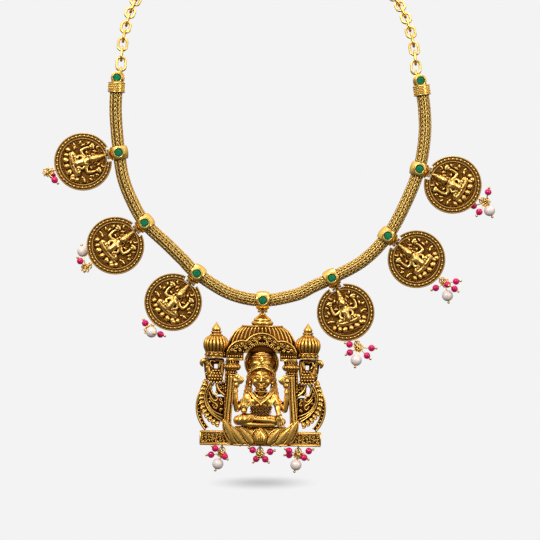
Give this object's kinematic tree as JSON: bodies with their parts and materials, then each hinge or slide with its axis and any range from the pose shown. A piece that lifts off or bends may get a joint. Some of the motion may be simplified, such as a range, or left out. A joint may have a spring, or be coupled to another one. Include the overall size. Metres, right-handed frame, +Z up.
{
  "type": "temple jewellery necklace",
  "caption": "Necklace of woven gold rope with hinged coin medallions, a domed temple pendant, bead drops and a plain chain back.",
  "frame": {"origin": "middle of the back of the neck loop, inside the clasp, where the necklace hangs on the nape", "axes": "+Z up, the pendant hangs below and faces -Y, +X to the right of someone who looks at the front"},
  "size_m": [0.1934, 0.0836, 0.2335],
  "materials": {
    "rope_gold": "antiqued woven wire",
    "coin_gold": "antiqued cast relief",
    "pendant_gold": "antiqued, polished high points",
    "bright_gold": "polished",
    "green_stone": "faceted and polished",
    "magenta_bead": "polished",
    "pearl": "pearly"
  },
  "bodies": {
    "necklace": {"rope": "rope_gold", "end_cap_left": "bright_gold", "end_cap_right": "bright_gold", "stone_end_left": "green_stone", "stone_end_right": "green_stone", "slider_1": "bright_gold", "slider_2": "bright_gold", "slider_3": "bright_gold", "slider_4": "bright_gold", "slider_5": "bright_gold", "slider_6": "bright_gold", "slider_7": "bright_gold", "stone_1": "green_stone", "stone_2": "green_stone", "stone_3": "green_stone", "stone_4": "green_stone", "stone_5": "green_stone", "stone_6": "green_stone", "stone_7": "green_stone", "back_chain_left": "bright_gold", "back_chain_right": "bright_gold", "clasp": "bright_gold"},
    "coin_1": {"medallion_1": "coin_gold", "drop_wires_1": "bright_gold", "drop_beads_1": "magenta_bead"},
    "coin_2": {"medallion_2": "coin_gold", "drop_wires_2": "bright_gold", "drop_beads_2": "magenta_bead", "drop_pearl_2": "pearl"},
    "coin_3": {"medallion_3": "coin_gold", "drop_wires_3": "bright_gold", "drop_beads_3": "magenta_bead", "drop_pearl_3": "pearl"},
    "coin_4": {"medallion_4": "coin_gold", "drop_wires_4": "bright_gold", "drop_beads_4": "magenta_bead", "drop_pearl_4": "pearl"},
    "coin_5": {"medallion_5": "coin_gold", "drop_wires_5": "bright_gold", "drop_beads_5": "magenta_bead", "drop_pearl_5": "pearl"},
    "coin_6": {"medallion_6": "coin_gold", "drop_wires_6": "bright_gold", "drop_beads_6": "magenta_bead", "drop_pearl_6": "pearl"},
    "pendant": {"pendant_frame": "pendant_gold", "peacock_left": "pendant_gold", "peacock_right": "pendant_gold", "goddess_figure": "pendant_gold", "lotus_throne": "pendant_gold", "drop_wires_7": "bright_gold", "drop_beads_7": "magenta_bead", "drop_pearl_7": "pearl", "drop_wires_8": "bright_gold", "drop_beads_8": "magenta_bead", "drop_wires_9": "bright_gold", "drop_beads_9": "magenta_bead", "drop_pearl_9": "pearl"}
  },
  "joints": [
    {"name": "coin_1_swing", "type": "hinge", "parent": "necklace", "child": "coin_1", "pos_m": [-0.06621, -0.075, -0.0941], "axis": [-0.1338, 0, 0.991], "range_deg": [-70, 70]},
    {"name": "coin_2_swing", "type": "hinge", "parent": "necklace", "child": "coin_2", "pos_m": [-0.05417, -0.075, -0.12639], "axis": [-0.6272, 0, 0.7789], "range_deg": [-70, 70]},
    {"name": "coin_3_swing", "type": "hinge", "parent": "necklace", "child": "coin_3", "pos_m": [-0.03091, -0.075, -0.14901], "axis": [-0.8105, 0, 0.5858], "range_deg": [-70, 70]},
    {"name": "coin_4_swing", "type": "hinge", "parent": "necklace", "child": "coin_4", "pos_m": [0.03163, -0.075, -0.15126], "axis": [-0.8894, 0, -0.4572], "range_deg": [-70, 70]},
    {"name": "coin_5_swing", "type": "hinge", "parent": "necklace", "child": "coin_5", "pos_m": [0.05716, -0.075, -0.13187], "axis": [-0.6011, 0, -0.7992], "range_deg": [-70, 70]},
    {"name": "coin_6_swing", "type": "hinge", "parent": "necklace", "child": "coin_6", "pos_m": [0.07147, -0.075, -0.10185], "axis": [-0.2811, 0, -0.9597], "range_deg": [-70, 70]},
    {"name": "pendant_swing", "type": "hinge", "parent": "necklace", "child": "pendant", "pos_m": [-0.00009, -0.075, -0.16135], "axis": [-0.9998, 0, 0.0213], "range_deg": [-45, 45]}
  ]
}
